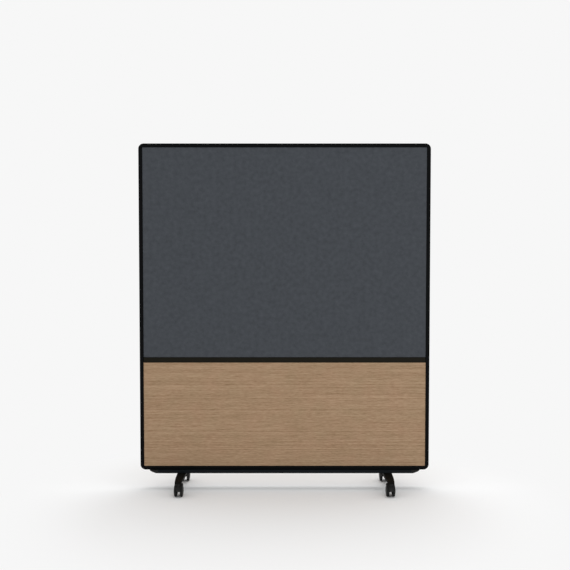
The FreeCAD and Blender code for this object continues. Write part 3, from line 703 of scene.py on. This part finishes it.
def swell(mesh):
    """How far each point of a flat cover moves along Y when it is pulled tight over its pad."""
    trial = as_object(mesh.copy(), "trial_cover")
    before = [point.co.y for point in trial.data.vertices]
    held = trial.vertex_groups.new(name="held")
    turned_back = [index for index, y in enumerate(before) if y - front_y > face_tolerance]
    held.add(turned_back, 1.0, "REPLACE")
    cloth = trial.modifiers.new("tension", "CLOTH").settings
    cloth.vertex_group_mass = "held"
    cloth.bending_stiffness = cloth_stiffness
    cloth.shrink_min = cloth_pull
    cloth.use_pressure = True
    cloth.uniform_pressure_force = pad_pressure
    cloth.effector_weights.gravity = 0
    for step in range(1, cloth_steps + 1):
        bpy.context.scene.frame_set(step)
    shaped = trial.evaluated_get(bpy.context.evaluated_depsgraph_get())
    after = [point.co.y for point in shaped.data.vertices]
    bpy.data.objects.remove(trial)
    bpy.context.scene.frame_set(1)
    return [max(-swell_cap, min(0.0, end - start)) for start, end in zip(before, after)]


moves = swell(cover_mesh)
for mesh in (cover_mesh, pad_mesh):
    for point, move in zip(mesh.verts, moves):
        point.co.y += move
print("the cover swells by", round(-min(moves) * 1000, 2), "mm")

# %% [markdown]
# The rear cover and pad are the front ones again. They could be made and pulled tight a second time, but
# a mirror image is the same cloth for no work. Each cover gets its thickness, a little less than the
# room left for it, from a live Solidify modifier. The pad's back is closed.

# %% Covers and pads
cloth_share = 0.8
cloth_room = pad_low.y - cover_low.y


def mirrored(mesh):
    """The same form on the rear, with its faces turned to point outwards again."""
    other = mesh.copy()
    bmesh.ops.scale(other, vec=(1, -1, 1), verts=other.verts)
    bmesh.ops.reverse_faces(other, faces=other.faces)
    return other


bmesh.ops.holes_fill(pad_mesh, edges=[edge for edge in pad_mesh.edges if edge.is_boundary], sides=0)
bmesh.ops.recalc_face_normals(pad_mesh, faces=pad_mesh.faces)
forms = {"upper_rear": (mirrored(cover_mesh), mirrored(pad_mesh)), "upper_front": (cover_mesh, pad_mesh)}
for name, (cloth_form, filling_form) in forms.items():
    cover = as_object(cloth_form, name + "_cover")
    thickness = cover.modifiers.new("thickness", "SOLIDIFY")
    thickness.thickness = cloth_room * cloth_share
    thickness.offset = -1
    dress(cover, "charcoal_fabric")
    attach(cover, "root")
    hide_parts(name + "_fabric")
    name + "_padding"
    pad = as_object(filling_form, name + "_padding")
    dress(pad, "acoustic_felt")
    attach(pad, "root")
    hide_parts(name + "_pad")
    print(name, "cover and pad made")

# %% [markdown]
# The light is that of a plain studio. Most of it comes from an even pale surround. A surround bright
# enough to look almost white would light the piece too much, so it has two strengths: the camera,
# mirrors and glass see the almost white one, and the piece is lit by a lower one, so that colours come
# out as they are written.

# %% Surround
backdrop_tone = from_screen(247, 247, 247)
light_strength = 0.87

surround = Finish(bpy.data.worlds.new("surround"))
bpy.context.scene.world = surround.owner
camera_ray = surround.node("ShaderNodeLightPath", {}, {}, "Is Camera Ray")
glossy_ray = surround.node("ShaderNodeLightPath", {}, {}, "Is Glossy Ray")
through_ray = surround.node("ShaderNodeLightPath", {}, {}, "Is Transmission Ray")
seen = surround.maths("MAXIMUM", surround.maths("MAXIMUM", camera_ray, glossy_ray), through_ray)
light = surround.node("ShaderNodeBackground", {}, {"Color": (1, 1, 1, 1), "Strength": light_strength})
backdrop = surround.node("ShaderNodeBackground", {}, {"Color": backdrop_tone, "Strength": 1.0})
chosen = surround.node("ShaderNodeMixShader", {}, {0: seen, 1: light, 2: backdrop})
surround.node("ShaderNodeOutputWorld", {}, {"Surface": chosen})
print("surround made, light at", light_strength)

# %% [markdown]
# Two wide square lamps add direction. The one above, a little behind the piece, lays its soft shadow on
# the floor in front, and the one low in front on the right makes the fabric and the wood a little
# lighter towards that side. Small lamps would draw hard shadows, which the picture doesn't have.

# %% Lamps
lamp_size = 2.4


def lamp(name, power, place, target):
    """A square lamp at a place, turned towards its target."""
    data = bpy.data.lights.new(name, "AREA")
    data.shape = "SQUARE"
    data.size = lamp_size
    data.energy = power
    made = bpy.data.objects.new(name, data)
    made.location = place
    made.rotation_euler = (Vector(target) - Vector(place)).to_track_quat("-Z", "Y").to_euler()
    bpy.context.scene.collection.objects.link(made)
    print(name, "of", power, "W at", place)


lamp("top_lamp", power=60, place=(0.3, 0.5, 4.4), target=(0, 0, 0))
lamp("front_lamp", power=42, place=(2.0, -4.6, 0.9), target=(0, 0, 0.5))

# %% [markdown]
# The floor is one wide disc. Near the piece it is a matt grey-white that keeps the soft shadow, and
# further out it glows in the surround's own tone, so that no horizon shows. A white floor alone would
# end in a line, and no floor would leave the piece hanging in the air. The matt part reaches further to
# the front, where the shadow lies, because depth counts for less there than behind.

# %% Floor
floor_radius = 30.0
floor_white = (0.86, 0.86, 0.86, 1)
tone_start = 0.72
tone_end = 1.15
depth_weight = 0.8
depth_weight_behind = 1.6
weight_change = 0.1

floor_mesh = bmesh.new()
bmesh.ops.create_circle(floor_mesh, cap_ends=True, segments=64, radius=floor_radius)
floor = as_object(floor_mesh, "floor", smooth=False)
floor_finish = new_finish("floor")
here = floor_finish.point()
depth = floor_finish.coordinate(here, "Y")
behind = floor_finish.between(depth, 0.0, weight_change)
weighted = floor_finish.node("ShaderNodeCombineXYZ", {}, {
    "X": floor_finish.coordinate(here, "X"),
    "Y": depth * (depth_weight + (depth_weight_behind - depth_weight) * behind)})
distance = floor_finish.node("ShaderNodeVectorMath", {"operation": "LENGTH"}, {0: weighted}, "Value")
far_away = floor_finish.between(distance, tone_start, tone_end)
matt = floor_finish.node("ShaderNodeBsdfDiffuse", {}, {"Color": floor_white})
glow = floor_finish.node("ShaderNodeEmission", {}, {"Color": backdrop_tone, "Strength": 1.0})
mixed = floor_finish.node("ShaderNodeMixShader", {}, {0: far_away, 1: matt, 2: glow})
floor_finish.node("ShaderNodeOutputMaterial", {}, {"Surface": mixed})
floor.data.materials.append(floor_finish.owner)
print("floor made, matt up to", tone_start, "m and glowing from", tone_end, "m")
